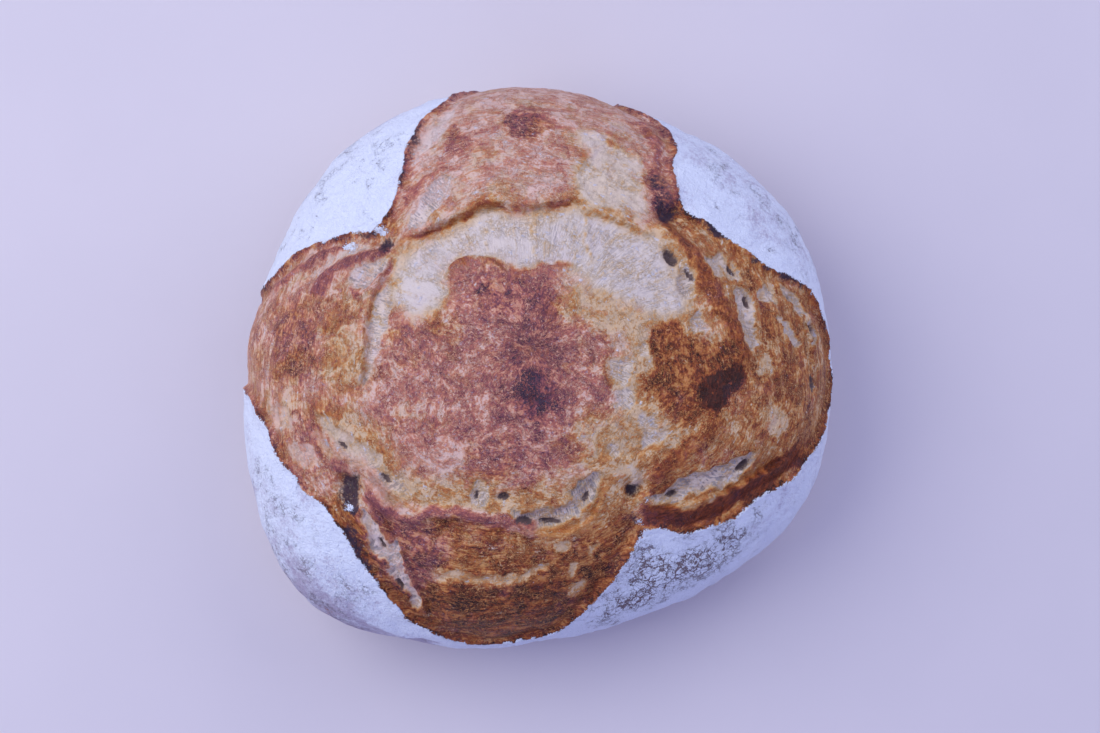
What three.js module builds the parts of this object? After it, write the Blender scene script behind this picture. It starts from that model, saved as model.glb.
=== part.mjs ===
import * as THREE from "three";

// A round hearth loaf, slashed with a cross before it was baked. It is one solid piece of bread.
// Units are millimetres and +Z is up. The origin is the middle of the base, where the loaf stands.
//
// Places on the crust are given on an unrolled plan of the loaf: (x, y) is the place seen from above
// as far out as the widest ring, and what lies past the ring is wrapped down the side.

// Driving dimensions
const loafHeight = 80; // height of the dome, before its swellings
const widestHeight = 31; // height of the widest ring above the base
const footShare = 0.72; // radius of the flat foot, as a share of the widest radius
const shoulder = 2.25; // squareness of the dome above the ring: 2 would be an ellipse
const heel = 2.1; // squareness of the turn under the ring
const sideLength = 42; // length of crust from the widest ring down to the foot's edge
// Radius of the widest ring every 22.5 degrees, anticlockwise from +X
const ringRadii = [93, 95, 93, 88, 87, 91.5, 92.5, 89.5, 90, 98, 104, 95, 86, 86, 91, 95.5];

// Mesh: how many steps go round the loaf, and how many down each part of its profile
const around = 108;
const domeSteps = 27;
const sideSteps = 11;
const footSteps = 3;

// Edge of the floured skin. The cross opened between its four points, so what is inside is torn crumb.
const skinEdge = {
  lip: 1.6, // how far the cut edge of the skin has curled up
  lipWidth: 2.8,
  gap: 2.2, // furrow just inside the edge, where the crumb tore away from the skin
  gapPlace: 4.5,
  gapWidth: 2.6,
  bloom: 1.6, // how far the crumb has risen past the skin
  bloomWidth: 11,
  points: [
    [-17, 88], [-30, 79], [-38, 68], [-42, 55], [-48, 40], [-63, 37], [-78, 32], [-89, 24],
    [-101, 8], [-98, -5], [-85, -14], [-76, -33], [-59, -51], [-50, -67], [-38, -80], [-17, -87],
    [3, -84], [18, -75], [33, -54], [46, -54], [64, -46], [80, -35], [90, -18], [92, -3],
    [90, 12], [76, 25], [57, 38], [46, 47], [43, 62], [43, 70], [38, 82], [22, 93], [4, 98],
  ],
};

// Furrows and ridges where the crumb tore: height is above the dome around them, in mm
const tears = [
  // furrows above the crown, left of it, lower left of it and under it
  { height: -3.0, width: 4.5, points: [[-43, 33], [-28, 39], [-13, 43], [5, 42], [23, 40], [38, 34]] },
  { height: -2.6, width: 4.0, points: [[-44, 32], [-48, 18], [-50, 3], [-52, -12]] },
  { height: -3.0, width: 4.0, points: [[-64, -20], [-55, -33], [-46, -41], [-37, -46]] },
  { height: -2.4, width: 4.0, points: [[-4, -50], [7, -52], [16, -51], [25, -44]] },
  // straps of crust right of the crown, under it, and in the left arm
  {
    height: 2.0,
    width: 4.0,
    points: [[42, 40], [49, 28], [57, 12], [62, -3], [56, -13], [44, -26], [32, -40]],
  },
  {
    height: 1.8,
    width: 3.2,
    points: [[-37, -49], [-24, -48], [-10, -50], [3, -54], [16, -56], [26, -49]],
  },
  { height: 1.8, width: 4.0, points: [[-46, 32], [-56, 28], [-64, 22], [-70, 16]] },
  // furrows beside the skin in the bottom and right arms
  { height: -2.2, width: 4.0, points: [[-50, -48], [-45, -58], [-38, -70], [-34, -78]] },
  { height: -2.4, width: 4.0, points: [[38, -45], [50, -46], [61, -41], [68, -33]] },
  { height: -2.2, width: 4.0, points: [[50, 34], [62, 25], [68, 12], [70, 2]] },
];

// The pits at the four inner corners of the cross, where the tears meet
const pits = [
  { at: [-45, 33], depth: 4.0, reach: 6.5 },
  { at: [42, 42], depth: 5.0, reach: 7.5 },
  { at: [-56, -40], depth: 4.0, reach: 7.0 },
  { at: [29, -43], depth: 5.0, reach: 6.0 },
];

// Broad swellings: the crown in the middle and the four arms of the cross round it
const swellings = [
  { at: [0, -4], height: 1.5, reach: 42 },
  { at: [-2, 66], height: 2.2, reach: 26 },
  { at: [-74, -2], height: 2.2, reach: 24 },
  { at: [-6, -70], height: 2.4, reach: 22 },
  { at: [76, -8], height: 2.0, reach: 24 },
];

// Radius of the widest ring at an angle, through ringRadii on a smooth closed curve
function ringRadius(angle) {
  const count = ringRadii.length;
  const place = ((angle / (2 * Math.PI)) * count + 2 * count) % count;
  const first = Math.floor(place);
  const f = place - first;
  const [a, b, c, d] = [-1, 0, 1, 2].map((step) => ringRadii[(first + step + count) % count]);
  return b + 0.5 * f * (c - a + f * (2 * a - 5 * b + 4 * c - d + f * (3 * (b - c) + d - a)));
}

// The plain loaf's surface at a place on the unrolled plan
function bodyPoint(x, y) {
  const angle = Math.atan2(y, x);
  const widest = ringRadius(angle);
  const reach = Math.hypot(x, y);
  let radius = reach;
  let z;
  if (reach <= widest) {
    z = widestHeight + (loafHeight - widestHeight) * (1 - (reach / widest) ** shoulder) ** (1 / shoulder);
  } else {
    const turn = Math.min(1, (reach - widest) / sideLength) * (Math.PI / 2);
    const foot = footShare * widest;
    radius = foot + (widest - foot) * Math.max(0, Math.cos(turn)) ** (2 / heel);
    z = widestHeight * (1 - Math.sin(turn) ** (2 / heel));
  }
  return new THREE.Vector3(radius * Math.cos(angle), radius * Math.sin(angle), z);
}

// Outward direction of the plain loaf's surface at a place on the unrolled plan
function bodyNormal(x, y) {
  const step = 0.5;
  const alongX = bodyPoint(x + step, y).sub(bodyPoint(x - step, y));
  const alongY = bodyPoint(x, y + step).sub(bodyPoint(x, y - step));
  return alongX.cross(alongY).normalize();
}

// A smooth line over the crust, as many points on the plain loaf's surface
function crustLine(points, closed) {
  const plan = points.map(([x, y]) => new THREE.Vector3(x, y, 0));
  const curve = new THREE.CatmullRomCurve3(plan, closed, "centripetal");
  return curve.getPoints(points.length * 8);
}

const edgeLine = crustLine(skinEdge.points, true);
const edgeOnBody = edgeLine.map((p) => bodyPoint(p.x, p.y));
const tearsOnBody = tears.map((tear) => crustLine(tear.points, false).map((p) => bodyPoint(p.x, p.y)));

function nearest(point, line) {
  return Math.min(...line.map((p) => p.distanceTo(point)));
}

// Whether a place on the plan is inside the skin's edge, on torn crumb
function onCrumb(x, y) {
  let inside = false;
  edgeLine.forEach((p, i) => {
    const q = edgeLine[(i + 1) % edgeLine.length];
    const crosses = p.y > y !== q.y > y && x < ((q.x - p.x) * (y - p.y)) / (q.y - p.y) + p.x;
    if (crosses) {
      inside = !inside;
    }
  });
  return inside;
}

const bell = (distance, reach) => Math.exp(-((distance / reach) ** 2));

// How far the crust stands out from the plain loaf at a place on the plan
function relief(x, y) {
  const point = bodyPoint(x, y);
  const toEdge = nearest(point, edgeOnBody);
  let height = skinEdge.lip * bell(toEdge, skinEdge.lipWidth);
  if (onCrumb(x, y)) {
    height += skinEdge.bloom * (1 - bell(toEdge, skinEdge.bloomWidth));
    height -= skinEdge.gap * bell(toEdge - skinEdge.gapPlace, skinEdge.gapWidth);
  }
  tears.forEach((tear, i) => {
    height += tear.height * bell(nearest(point, tearsOnBody[i]), tear.width);
  });
  pits.forEach(({ at, depth, reach }) => {
    height -= depth * bell(Math.hypot(x - at[0], y - at[1]), reach);
  });
  swellings.forEach(({ at, height: rise, reach }) => {
    height += rise * bell(Math.hypot(x - at[0], y - at[1]), reach);
  });
  return height;
}

// Steps down the profile: share of the ring's radius, then length of crust past the ring
function profileSteps() {
  const steps = [];
  for (let i = 0; i <= domeSteps; i++) {
    steps.push({ share: Math.sin((i / domeSteps) * (Math.PI / 2)) ** (2 / shoulder), past: 0 });
  }
  for (let i = 1; i <= sideSteps; i++) {
    steps.push({ share: 1, past: (i / sideSteps) * sideLength });
  }
  for (let i = 1; i <= footSteps; i++) {
    steps.push({ share: 1 - i / footSteps, foot: true });
  }
  return steps;
}

// A place on the finished crust, for one step of the profile at one angle
function crustPoint(step, angle) {
  const widest = ringRadius(angle);
  if (step.foot) {
    const radius = step.share * footShare * widest;
    return new THREE.Vector3(radius * Math.cos(angle), radius * Math.sin(angle), 0);
  }
  const reach = step.share * widest + step.past;
  const x = reach * Math.cos(angle);
  const y = reach * Math.sin(angle);
  const fade = 1 - step.past / sideLength; // the foot's edge stays flat on the table
  return bodyPoint(x, y).addScaledVector(bodyNormal(x, y), fade * relief(x, y));
}

function makeLoafGeometry() {
  const steps = profileSteps();
  const top = steps.length - 1;
  // A lathe's faces point outwards when its profile runs from the base up to the crown.
  const profile = steps.map((step, i) => new THREE.Vector2(step.share, 1 - i / top)).reverse();
  profile[0].x = 0;
  profile[top].x = 0;
  const geometry = new THREE.LatheGeometry(profile, around);
  const position = geometry.attributes.position;
  for (let i = 0; i < position.count; i++) {
    const step = steps[top - (i % profile.length)];
    const turn = Math.floor(i / profile.length) % around;
    const point = crustPoint(step, (turn / around) * 2 * Math.PI);
    position.setXYZ(i, point.x, point.y, point.z);
  }
  // Put the middle of the loaf over the origin.
  geometry.computeBoundingBox();
  const middle = geometry.boundingBox.getCenter(new THREE.Vector3());
  geometry.translate(-middle.x, -middle.y, 0);
  geometry.computeVertexNormals();
  return geometry;
}

const crust = new THREE.MeshStandardMaterial({ color: 0xa8683a, roughness: 0.85, metalness: 0 });
const loaf = new THREE.Mesh(makeLoafGeometry(), crust);
loaf.name = "loaf";

const group = new THREE.Group();
group.add(loaf);
export default group;
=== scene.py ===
import itertools
import math
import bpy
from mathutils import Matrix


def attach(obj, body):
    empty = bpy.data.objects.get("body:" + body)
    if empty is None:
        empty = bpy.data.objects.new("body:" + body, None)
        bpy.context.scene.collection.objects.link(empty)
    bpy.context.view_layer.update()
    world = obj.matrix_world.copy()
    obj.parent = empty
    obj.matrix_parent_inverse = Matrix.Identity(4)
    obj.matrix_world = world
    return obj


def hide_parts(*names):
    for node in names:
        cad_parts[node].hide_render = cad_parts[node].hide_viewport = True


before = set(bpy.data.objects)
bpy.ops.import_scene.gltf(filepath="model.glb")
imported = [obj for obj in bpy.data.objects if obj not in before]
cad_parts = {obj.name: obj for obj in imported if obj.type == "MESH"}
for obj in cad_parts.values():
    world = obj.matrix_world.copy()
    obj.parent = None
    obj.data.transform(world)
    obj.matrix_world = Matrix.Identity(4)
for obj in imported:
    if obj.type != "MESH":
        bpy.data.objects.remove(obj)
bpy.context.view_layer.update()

from types import SimpleNamespace

import bmesh
import bpy
import numpy as np
from mathutils import Vector

mm = 0.001

# A round hearth loaf. Sizes are in millimetres until the mesh is finished.
# (x, y) on the crust is its place seen from above, out to the widest ring. What lies past the ring
# is unrolled down the side, so the same pair of numbers reaches every place on the crust.

body = {
    "domeHeight": 80,
    "widestHeight": 31,
    "footShare": 0.72,  # radius of the flat foot, as a share of the widest radius
    "shoulder": 2.25,  # squareness of the dome: 2 would be an ellipse
    "heel": 2.1,  # squareness of the turn under the ring
    "sideLength": 42,  # crust from the widest ring down to the foot
    # radius of the widest ring every 22.5 degrees, anticlockwise from +X
    "ringRadii": [93, 95, 93, 88, 87, 91.5, 92.5, 89.5, 89.4, 97.4, 103.8, 95, 86.4, 86.2, 91.2, 95.6],
}


def ringRadius(angle):
    radii = np.array(body["ringRadii"], float)
    place = (angle / (2 * np.pi) * len(radii)) % len(radii)
    first = np.floor(place).astype(int)
    f = place - first
    a, b, c, d = (radii[(first + step) % len(radii)] for step in (-1, 0, 1, 2))
    return b + 0.5 * f * (c - a + f * (2 * a - 5 * b + 4 * c - d + f * (3 * (b - c) + d - a)))


# way is how far down the crust: 0 crown, 1 widest ring, 2 edge of the foot, 3 middle of the base
def bodyPoint(way, angle):
    dome = np.clip(way, 0, 1) * np.pi / 2
    side = np.clip(way - 1, 0, 1) * np.pi / 2
    foot = body["footShare"]
    share = np.where(
        way <= 1,
        np.sin(dome) ** (2 / body["shoulder"]),
        foot + (1 - foot) * np.abs(np.cos(side)) ** (2 / body["heel"]),
    )
    share = np.where(way > 2, foot * (3 - way), share)
    rise = body["domeHeight"] - body["widestHeight"]
    z = np.where(
        way <= 1,
        body["widestHeight"] + rise * np.abs(np.cos(dome)) ** (2 / body["shoulder"]),
        body["widestHeight"] * (1 - np.sin(side) ** (2 / body["heel"])),
    )
    reach = share * ringRadius(angle)
    return np.stack([reach * np.cos(angle), reach * np.sin(angle), z], -1)


def bodyNormal(way, angle):
    step = 0.01
    down = bodyPoint(way + step, angle) - bodyPoint(np.maximum(way - step, 0), angle)
    across = bodyPoint(way, angle + step) - bodyPoint(way, angle - step)
    normal = np.cross(down, across)
    length = np.linalg.norm(normal, axis=-1, keepdims=True)
    normal = np.where(length > 1e-6, normal / np.maximum(length, 1e-9), [0.0, 0.0, 1.0])
    return np.where((way > 2.02)[..., None], [0.0, 0.0, -1.0], normal)


def planOf(way, angle):
    widest = ringRadius(angle)
    reach = widest * np.sin(np.clip(way, 0, 1) * np.pi / 2) ** (2 / body["shoulder"])
    reach = reach + np.maximum(way - 1, 0) * body["sideLength"]
    return np.stack([reach * np.cos(angle), reach * np.sin(angle)], -1)


def onBody(plan):
    plan = np.asarray(plan, float)
    angle = np.arctan2(plan[..., 1], plan[..., 0])
    reach = np.hypot(plan[..., 0], plan[..., 1])
    widest = ringRadius(angle)
    inner = np.arcsin(np.clip(reach / widest, 0, 1) ** (body["shoulder"] / 2)) * 2 / np.pi
    way = np.where(reach <= widest, inner, 1 + (reach - widest) / body["sideLength"])
    return bodyPoint(way, angle)


# A smooth line through a few places on the plan
def smoothLine(points, closed=False, spacing=0.8):
    points = np.array(points, float)
    count = len(points)
    if closed:
        around = [points[(i + step) % count] for i in range(count) for step in (-1, 0, 1, 2)]
    else:
        ends = np.vstack([2 * points[0] - points[1], points, 2 * points[-1] - points[-2]])
        around = [ends[i + step] for i in range(count - 1) for step in range(4)]
    line = []
    for a, b, c, d in np.array(around).reshape(-1, 4, 2):
        steps = max(2, int(np.hypot(*(c - b)) / spacing))
        f = np.arange(steps)[:, None] / steps
        line.append(b + 0.5 * f * (c - a + f * (2 * a - 5 * b + 4 * c - d + f * (3 * (b - c) + d - a))))
    if not closed:
        line.append(points[-1:])
    return np.vstack(line)


# Smooth noise between -1 and 1, with bumps about "size" mm across
def softNoise(points, size, seed=0, octaves=1):
    total = np.zeros(len(points))
    for octave in range(octaves):
        p = points * (2.0**octave / size) + (seed * 17.31 + octave * 5.7)
        cell = np.floor(p).astype(np.int64)
        f = p - cell
        f = f * f * (3 - 2 * f)
        for corner in itertools.product((0, 1), repeat=3):
            at = cell + np.array(corner)
            key = (at[:, 0] * 73856093) ^ (at[:, 1] * 19349663) ^ (at[:, 2] * 83492791) ^ (seed * 2654435)
            key = ((key ^ (key >> 13)) * 1274126177) & 0x7FFFFFFF
            key = ((key ^ (key >> 15)) * 2246822519) & 0x7FFFFFFF
            value = key / 0x3FFFFFFF - 1
            weight = np.prod(np.where(corner, f, 1 - f), axis=1)
            total += value * weight * 0.5**octave
    return total


def smoothStep(low, high, value):
    t = np.clip((value - low) / (high - low), 0, 1)
    return t * t * (3 - 2 * t)


def insideLine(line, x, y):
    inside = np.zeros(len(x), bool)
    after = np.roll(line, -1, 0)
    for (ax, ay), (bx, by) in zip(line, after):
        if ay == by:
            continue
        crosses = (ay > y) != (by > y)
        inside ^= crosses & (x < (bx - ax) * (y - ay) / (by - ay) + ax)
    return inside


# Where the slashed skin ends. Inside the line is crumb that tore and baked bare, outside is floured skin.
skinEdge = [
    (-10, 94), (-17, 88), (-23, 86), (-28, 81), (-31, 78), (-35, 74), (-37, 70), (-39, 65), (-40, 59),
    (-41, 53), (-42, 47), (-44, 43), (-46, 40), (-49, 37), (-54, 37), (-58, 37), (-65, 35), (-71, 34),
    (-76, 30), (-81, 26), (-87, 22), (-94, 15), (-97, 7), (-96, -1), (-91, -7), (-87, -12), (-84, -17),
    (-81, -22), (-78, -30), (-73, -36), (-68, -42), (-63, -46), (-60, -50), (-56, -56), (-53, -62),
    (-48, -68), (-43, -75), (-38, -80), (-31, -83), (-23, -86), (-11, -86), (-1, -84), (5, -83),
    (11, -80), (17, -75), (22, -70), (26, -65), (29, -60), (32, -55), (33, -53), (38, -52), (45, -54),
    (53, -52), (60, -49), (66, -44), (73, -40), (78, -37), (82, -32), (86, -27), (89, -21), (91, -13),
    (92, -3), (91.5, 6), (89, 14), (86, 20), (82, 24), (73, 27), (65, 32), (57, 37), (53, 41), (48, 43),
    (45, 46), (44, 52), (43, 59), (44, 65), (42, 71), (38, 76), (34, 78), (28, 82), (23, 88), (18, 94),
    (8, 99), (-2, 99),
]
skinLine = smoothLine(skinEdge, closed=True)

# The dough: a sheet over the dome, drawn down the side and gathered under the base

dough = {
    "gridCuts": 80,
    "gridWay": 0.84,  # how far down the crust the middle of the sheet's sides lies
    "sideLoops": 34,
    "baseLoops": 4,
    "crumbMargin": 3.0,  # finest mesh reaches this far past the skin's edge
}


def makeDough():
    bm = bmesh.new()
    bmesh.ops.create_grid(bm, x_segments=dough["gridCuts"], y_segments=dough["gridCuts"], size=1.0)
    for vert in bm.verts:
        across, up = math.tan(vert.co.x * math.pi / 4), math.tan(vert.co.y * math.pi / 4)
        way = math.atan(math.hypot(across, up)) / (math.pi / 4) * dough["gridWay"]
        angle = math.atan2(up, across)
        vert.co = (way * math.cos(angle), way * math.sin(angle), 0)

    edges = [edge for edge in bm.edges if edge.is_boundary]
    for loop in range(dough["sideLoops"] + dough["baseLoops"]):
        grown = bmesh.ops.extrude_edge_only(bm, edges=edges)["geom"]
        edges = [part for part in grown if isinstance(part, bmesh.types.BMEdge) and part.is_boundary]
        for vert in (part for part in grown if isinstance(part, bmesh.types.BMVert)):
            way = vert.co.length
            left = dough["sideLoops"] - loop
            further = way + (2 - way) / left if left > 0 else way + 1 / dough["baseLoops"]
            vert.co *= further / way

    for margin in (14.0, dough["crumbMargin"]):  # twice finer where the crumb shows
        flat = np.array([vert.co[:2] for vert in bm.verts])
        way, angle = np.hypot(flat[:, 0], flat[:, 1]), np.arctan2(flat[:, 1], flat[:, 0])
        plan = planOf(way, angle)
        near = insideLine(skinLine, plan[:, 0], plan[:, 1])
        for start in range(0, len(plan), 4000):
            part = plan[start : start + 4000]
            away = np.min(np.hypot(part[:, None, 0] - skinLine[:, 0], part[:, None, 1] - skinLine[:, 1]), 1)
            near[start : start + 4000] |= away < margin
        near &= way < 1.35
        bm.verts.index_update()
        edges = [edge for edge in bm.edges if near[edge.verts[0].index] and near[edge.verts[1].index]]
        bmesh.ops.subdivide_edges(bm, edges=edges, cuts=1, use_grid_fill=True)
    bm.verts.index_update()
    return bm


doughMesh = makeDough()
flat = np.array([vert.co[:2] for vert in doughMesh.verts])
way = np.hypot(flat[:, 0], flat[:, 1])
angle = np.arctan2(flat[:, 1], flat[:, 0])
crust = bodyPoint(way, angle)
outward = bodyNormal(way, angle)
plan = planOf(way, angle)
print(f"dough: {len(crust)} points")


# Ragged shifts of each place, so that no drawn edge comes out clean: sizes and amounts in mm
def ruffle(seeds, broadSize, broad, fineSize, fine, octaves=1):
    return np.stack([
        softNoise(crust, broadSize, seed) * broad + softNoise(crust, fineSize, seed + 5, octaves) * fine
        for seed in seeds
    ], 1)


wobble = ruffle((1, 2, 3), broadSize=6.0, broad=1.1, fineSize=2.2, fine=0.55)
tatter = ruffle((4, 5, 6), broadSize=9.0, broad=1.5, fineSize=3.2, fine=1.3, octaves=2)
ragged = crust + tatter
raggedPlan = plan + tatter[:, :2]


# Crust points near a line: which ones, how far (more than 0 on the left of its direction), what share
# of the line they have passed, and the line's direction there
def nearLine(points, reach, places=crust, closed=False):
    line = onBody(smoothLine(points, closed))
    low, high = line.min(0) - reach, line.max(0) + reach
    which = np.flatnonzero(np.all((places > low) & (places < high), axis=1))
    tangent = np.gradient(line, axis=0)
    tangent /= np.linalg.norm(tangent, axis=1, keepdims=True) + 1e-9
    here = places[which]
    nearest = np.empty(len(which), int)
    for start in range(0, len(which), 6000):
        gap = here[start : start + 6000, None] - line
        nearest[start : start + 6000] = np.einsum("ijk,ijk->ij", gap, gap).argmin(1)
    gap = here - line[nearest]
    alongGap = np.einsum("ij,ij->i", gap, tangent[nearest])
    inner = (nearest > 0) & (nearest < len(line) - 1)
    across = gap - np.where(inner, alongGap, 0)[:, None] * tangent[nearest]
    distance = np.linalg.norm(across, axis=1)
    left = np.einsum("ij,ij->i", np.cross(tangent[nearest], gap), outward[which])
    keep = distance < reach
    share = nearest / (len(line) - 1)
    return which[keep], (np.sign(left) * distance)[keep], share[keep], tangent[nearest][keep]


# How far each crust point is inside a closed outline, in mm; less than 0 is outside
def insideBy(outline, reach=12.0, places=ragged, plans=raggedPlan):
    which, distance, _, _ = nearLine(outline, reach, places, closed=True)
    line = smoothLine(outline, closed=True)
    depth = np.where(insideLine(line, plans[:, 0], plans[:, 1]), reach, -reach).astype(float)
    depth[which] = np.where(depth[which] > 0, 1, -1) * np.abs(distance)
    return depth


# 1 at a place on the plan, falling away round it
def bell(places, x, y, reach):
    return np.exp(-((places[:, 0] - x) ** 2 + (places[:, 1] - y) ** 2) / reach**2)


def fadeEnds(share, part=0.18):
    return smoothStep(0, part, share) * smoothStep(0, part, 1 - share)


relief = np.zeros(len(crust))  # how far the crust stands out from the plain body
shove = np.zeros_like(crust)  # how far it is pushed sideways
skin = -insideBy(skinEdge, 30.0, crust + 0.5 * wobble, plan + 0.5 * wobble[:, :2])  # mm onto the skin
onSkin = skin > 0
crumbAmount = smoothStep(0.4, -0.4, skin)

swellings = [  # broad bulges: place, height, reach
    ((0, -4), 1.5, 42),
    ((-2, 66), 2.2, 26),
    ((-74, -2), 2.2, 24),
    ((-6, -70), 2.4, 22),
    ((76, -8), 2.0, 24),
]
for (x, y), height, reach in swellings:
    relief += height * bell(plan, x, y, reach)

# The skin curls up along its cut edge, and the crumb sinks beside it before it swells
edgeShape = {"curl": 1.1, "curlWidth": 3.5, "sink": 1.1, "sinkWidth": 3.4, "bloom": 1.6, "bloomWidth": 11}
curl = edgeShape["curl"] * (0.2 + 0.8 * smoothStep(1.25, 0.95, way))
relief += np.where(
    onSkin,
    curl * np.exp(-np.abs(skin) / edgeShape["curlWidth"]),
    edgeShape["bloom"] * (1 - np.exp(-((skin / edgeShape["bloomWidth"]) ** 2)))
    - edgeShape["sink"] * np.exp(-np.abs(skin) / edgeShape["sinkWidth"]) * smoothStep(0, -2.4, skin)
    + curl * smoothStep(-2.6, 0, skin),
)

# Torn lips: the left of each line stands high and the right has dropped away from under it.
# Rise and its width, drop and its width, overhang, how its edge baked and how wide, places along it.
lips = {
    "topLobe": (1.6, 5, 2.6, 6, 1.1, 0.66, 0.8, [
        (-41, 34), (-35, 36), (-28, 39), (-22, 41.5), (-16, 43.5), (-10, 44.5), (-4, 43), (3, 44), (8, 45),
        (13, 45), (17, 43)]),
    "topLobeRight": (0.7, 4, 1.3, 5, 0.4, 0.44, 0.6, [
        (14, 44), (17, 42), (23, 40), (29, 38), (33, 36), (38, 34)]),
    "leftLobe": (0.8, 4, 1.6, 4, 0.5, 0.60, 0.5, [
        (-52, -15), (-51, -6), (-50, 4), (-49, 13), (-47, 19), (-45, 24), (-41, 30)]),
    "crownTop": (1.0, 5, 1.1, 4, 0.5, 0.62, 0.8, [
        (12, 22), (10, 24), (4, 25), (-3, 23), (-9, 24), (-13, 27), (-19, 28), (-25, 25), (-26, 18)]),
    "crownRight": (0.5, 4, 0.5, 3, 0.2, None, 0, [
        (24, -16), (22, -10), (21, -4), (23, -1), (22, 4), (16, 6), (9, 8)]),
    "groove": (1.2, 3, 2.2, 5, 0.6, 0.26, 1.4, [
        (-34, -47), (-37, -47), (-43, -45), (-46, -41), (-52, -35), (-60, -31), (-64, -26), (-67, -22)]),
    "lowerRight": (1.4, 2.6, 2.2, 5, 0.6, 0.34, 1.1, [
        (79, -30), (73, -34), (66, -38), (60, -41.5), (54, -43), (46, -45.5), (41, -47), (36, -47),
        (33, -46)]),
    "bottomHollow": (1.2, 2.4, 2.0, 5, 0.5, 0.40, 1.4, [
        (21, -36), (21, -40), (20, -45), (17, -50), (12, -53), (4, -54), (-3, -53), (-9, -50)]),
    "bottomLobe": (0.9, 3, 1.4, 3.5, 0.4, 0.56, 0.9, [
        (-31, -83), (-34, -75), (-37, -67), (-40, -60), (-43, -54), (-47, -48), (-50, -45)]),
    "orangeRim": (0.7, 2, 0.8, 3, 0.2, 0.42, 0.8, [
        (42, -22), (39, -27), (35, -30), (26, -32), (20, -32), (16, -31)]),
}
for rise, riseWidth, drop, dropWidth, overhang, _, _, points in lips.values():
    which, side, share, tangent = nearLine(points, 16, crust + 0.3 * wobble)
    fade = fadeEnds(share)
    high = rise * np.exp(-np.abs(side) / riseWidth)
    low = -drop * np.exp(-np.abs(side) / dropWidth)
    relief[which] += fade * (low + (high - low) * smoothStep(-0.55, 0.55, side))
    rightwards = np.cross(tangent, outward[which])
    push = overhang * fade * np.exp(-((side - 0.5) / 1.3) ** 2) * smoothStep(-0.8, 0.6, side)
    shove[which] += push[:, None] * rightwards

# Straps and strands of crust that bridged the tears: height and half-width, how they baked and how
# wide, places along them
straps = {
    "rightStrap": (2.3, 3.0, 0.70, 2.3, [
        (38, 42), (42, 35), (46, 32), (49, 28), (52, 23), (54, 18), (57, 12), (60, 6), (62, 1), (61, -6)]),
    "leftStrapInner": (1.8, 2.0, 0.70, 1.8, [
        (-44, 34), (-47, 31), (-53, 29), (-61, 25), (-64, 22), (-66, 17)]),
    "leftStrapOuter": (1.0, 1.7, 0.66, 1.5, [(-56, 34), (-65, 31), (-70, 28), (-76, 25), (-82, 21)]),
    "pocketRim": (0.7, 1.0, 0.66, 0.7, [
        (-55, 21), (-54, 18), (-51, 16.5), (-48, 19), (-46, 23), (-43, 29)]),
    "topRidge": (1.0, 1.5, 0.62, 1.1, [(-41, 45), (-37, 50), (-33, 53), (-26, 56)]),
    "topRidgeThin": (0.6, 0.9, 0.48, 0.6, [(-39, 57), (-34, 61), (-28, 64)]),
    "topEdgeRight": (1.2, 2.4, 0.62, 1.6, [(30, 74), (36, 70), (38, 64), (38, 57), (41, 50), (44, 45)]),
    "creamRidge": (0.7, 1.0, 0.52, 0.7, [(16, 69), (24, 64), (29, 64), (34, 59)]),
    "bottomStrap": (1.9, 2.0, 0.70, 1.6, [
        (-52, -40), (-47, -44), (-43, -48), (-37, -50), (-31, -48), (-22, -48), (-13, -49), (-5, -51),
        (3, -55)]),
    "pitStrap": (1.3, 3.2, 0.66, 2.2, [(34, -41), (38, -36), (45, -30), (52, -24), (57, -18)]),
    "strandLeft": (0.5, 0.6, 0.24, 0.3, [(1, 42), (0, 34), (1, 25)]),
    "strandRight": (0.6, 0.7, 0.28, 0.4, [(16, 42), (16, 34), (17, 25)]),
    "strandA": (0.7, 0.8, 0.46, 0.6, [(56, 33), (59, 28), (62, 23), (65, 18)]),
    "strandB": (0.7, 0.8, 0.50, 0.7, [(66, 29), (69, 23), (71, 17), (75, 10), (77, 2)]),
    "strandC": (0.7, 0.8, 0.56, 0.7, [(75, 24), (78, 18), (81, 12), (84, 4), (84, -6)]),
    "strandD": (0.6, 0.7, 0.40, 0.5, [(52, 31), (56, 26), (58, 20), (59, 14)]),
    "wedge": (1.2, 1.6, 0.10, 1.4, [(28, -33), (30, -36), (30, -41)]),
    "outerLeft": (0.8, 3.2, None, 0, [(-78, -24), (-70, -36), (-61, -44)]),
}
for height, width, _, _, points in straps.values():
    which, side, share, _ = nearLine(points, 12, crust + 0.5 * wobble)
    relief[which] += height * fadeEnds(share, 0.12) * np.exp(-np.abs(side / width) ** 2.6)

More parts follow.
